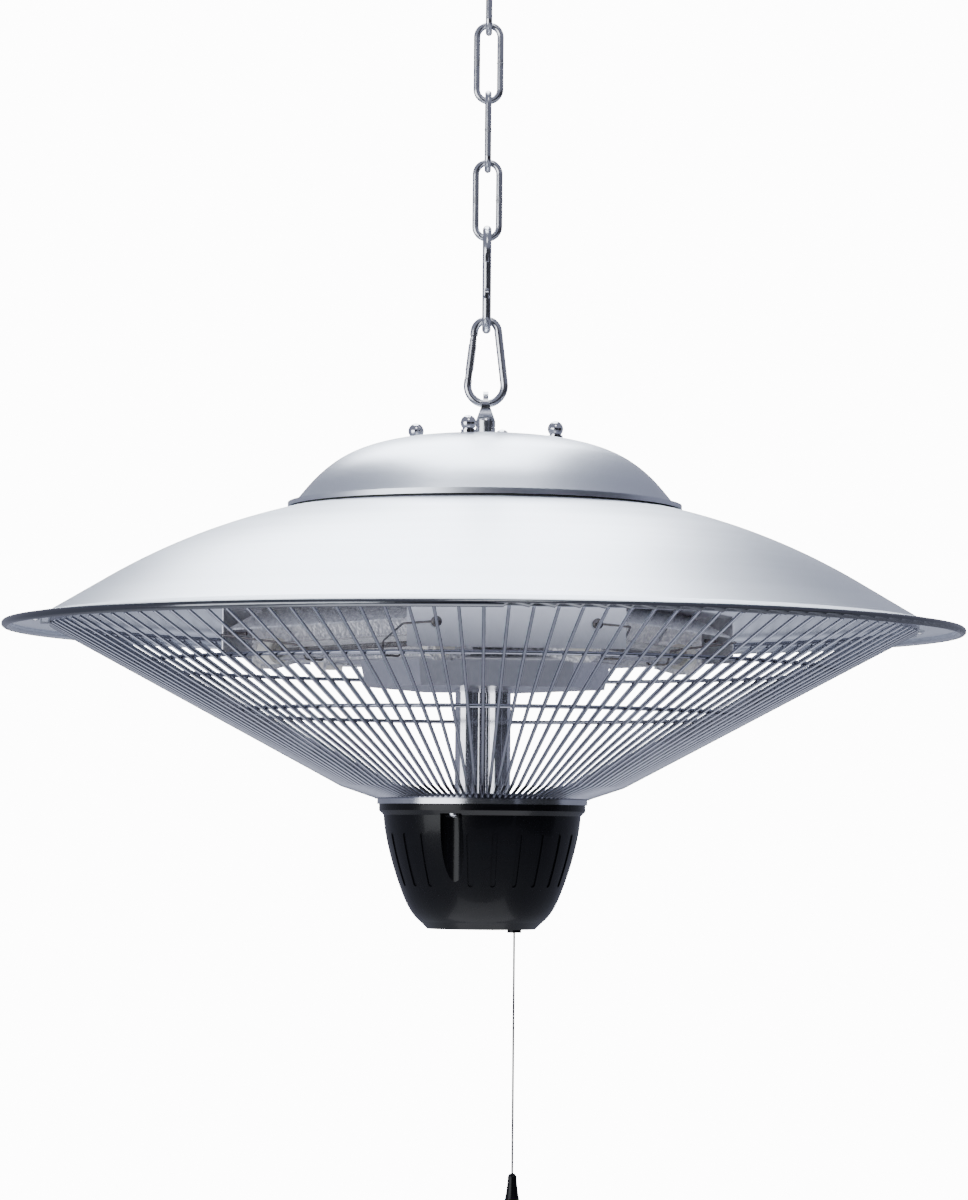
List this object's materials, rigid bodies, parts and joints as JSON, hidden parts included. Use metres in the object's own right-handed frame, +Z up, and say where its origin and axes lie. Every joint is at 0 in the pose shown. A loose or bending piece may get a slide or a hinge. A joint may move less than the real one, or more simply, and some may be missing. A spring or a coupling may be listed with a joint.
{
  "type": "ceiling infrared heater",
  "caption": "Hanging round infrared heater: domed spun metal shade, lamps and radial wire guard below, chain on top, black cup with a pull cord.",
  "frame": {"origin": "on the ceiling plane, on the axis of the ceiling hook's screw, where it enters the ceiling", "axes": "+Z up along the hanging axis, -Y towards the viewer of the picture (the side of the open gate of the upper snap hook), +X to the picture's right, the side of the pull cord"},
  "size_m": [0.6, 0.6, 0.8485],
  "materials": {
    "bright_steel": "polished zinc plating",
    "chain_steel": "polished, drawn wire with welded joints",
    "spun_aluminium": "satin, spun in fine circles",
    "reflector_aluminium": "bright, embossed",
    "chrome_plate": "mirror polished",
    "guard_steel": "bright chromed wire",
    "sheet_steel": "galvanised, matt",
    "black_plastic": "gloss moulded",
    "housing_plastic": "matt moulded",
    "black_rubber": "matt",
    "quartz": "clear quartz",
    "ceramic_white": "unglazed",
    "coil_metal": "dark heating wire",
    "cord_grey": "tight twisted cord"
  },
  "bodies": {
    "ceiling_hook": {"ceiling_hook": "bright_steel"},
    "link_1": {"chain_link_1": "chain_steel"},
    "link_2": {"chain_link_2": "chain_steel"},
    "link_3": {"chain_link_3": "chain_steel"},
    "link_4": {"chain_link_4": "chain_steel"},
    "upper_snap": {"upper_snap_hook": "bright_steel", "upper_snap_rivet": "bright_steel"},
    "upper_gate": {"upper_snap_gate": "bright_steel"},
    "lower_snap": {"lower_snap_hook": "bright_steel", "lower_snap_rivet": "bright_steel"},
    "lower_gate": {"lower_snap_gate": "bright_steel"},
    "heater": {"cap_nuts": "chrome_plate", "collar_ring": "chrome_plate", "control_cup": "black_plastic", "cord_bush": "black_plastic", "cup_screws": "bright_steel", "dome_bolts": "sheet_steel", "dome_seal": "black_rubber", "gland_body": "black_plastic", "gland_cap": "black_plastic", "gland_lock_nut": "black_plastic", "gland_seal": "black_rubber", "guard_base_ring": "guard_steel", "guard_clips": "bright_steel", "guard_lower_ring": "guard_steel", "guard_screws": "bright_steel", "guard_top_ring": "guard_steel", "guard_upper_ring": "guard_steel", "guard_wires": "guard_steel", "hanger_eye": "bright_steel", "hanger_nut": "sheet_steel", "hanger_seal": "black_rubber", "hanger_washer": "sheet_steel", "hub_cover": "reflector_aluminium", "lamp_coils": "coil_metal", "lamp_end_caps": "ceramic_white", "lamp_reflector_1": "reflector_aluminium", "lamp_reflector_2": "reflector_aluminium", "lamp_reflector_3": "reflector_aluminium", "lamp_retainers": "bright_steel", "lamp_tube_1": "quartz", "lamp_tube_2": "quartz", "lamp_tube_3": "quartz", "mounting_plate": "sheet_steel", "post_1": "chrome_plate", "post_2": "chrome_plate", "post_3": "chrome_plate", "post_nuts": "sheet_steel", "post_plate": "sheet_steel", "reflector_pan": "reflector_aluminium", "reflector_standoffs": "sheet_steel", "retainer_screws": "bright_steel", "shade": "spun_aluminium", "switch_housing": "housing_plastic", "switch_spring": "bright_steel", "terminal_block": "ceramic_white", "top_dome": "spun_aluminium"},
    "pull": {"pull_cord": "cord_grey", "pull_knob": "black_plastic"},
    "spool": {"switch_spool": "housing_plastic"}
  },
  "joints": [
    {"name": "link_1_swing", "type": "hinge", "parent": "ceiling_hook", "child": "link_1", "pos_m": [0, 0, -0.03964], "axis": [1, 0, 0], "range_deg": [-25, 25]},
    {"name": "link_2_swing", "type": "hinge", "parent": "link_1", "child": "link_2", "pos_m": [0, 0, -0.08284], "axis": [0, 1, 0], "range_deg": [-25, 25]},
    {"name": "link_3_swing", "type": "hinge", "parent": "link_2", "child": "link_3", "pos_m": [0, 0, -0.12644], "axis": [1, 0, 0], "range_deg": [-25, 25]},
    {"name": "link_4_swing", "type": "hinge", "parent": "link_3", "child": "link_4", "pos_m": [0, 0, -0.17004], "axis": [0, 1, 0], "range_deg": [-25, 25]},
    {"name": "upper_snap_swing", "type": "hinge", "parent": "link_4", "child": "upper_snap", "pos_m": [0, 0, -0.21364], "axis": [1, 0, 0], "range_deg": [-25, 25]},
    {"name": "lower_snap_swing", "type": "hinge", "parent": "upper_snap", "child": "lower_snap", "pos_m": [0, 0, -0.27114], "axis": [0, 1, 0], "range_deg": [-20, 20]},
    {"name": "heater_swing", "type": "hinge", "parent": "lower_snap", "child": "heater", "pos_m": [0, 0, -0.31824], "axis": [1, 0, 0], "range_deg": [-15, 15]},
    {"name": "upper_gate_hinge", "type": "hinge", "parent": "upper_snap", "child": "upper_gate", "pos_m": [0, -0.01063, -0.24971], "axis": [-1, 0, 0], "range_deg": [0, 25], "stiffness_Nm_per_rad": 0.05},
    {"name": "lower_gate_hinge", "type": "hinge", "parent": "lower_snap", "child": "lower_gate", "pos_m": [-0.00818, 0, -0.27831], "axis": [0, -1, 0], "range_deg": [0, 25], "stiffness_Nm_per_rad": 0.05},
    {"name": "pull_slide", "type": "slide", "parent": "heater", "child": "pull", "axis": [0, 0, -1], "range_m": [0, 0.012], "stiffness_N_per_m": 600},
    {"name": "spool_turn", "type": "hinge", "parent": "heater", "child": "spool", "pos_m": [0.01165, 0, -0.62544], "axis": [0, 1, 0], "range_deg": [0, 80]}
  ],
  "couplings": [
    {"joint": "spool_turn", "follows": "pull_slide", "rad_per_m": 115.61}
  ]
}
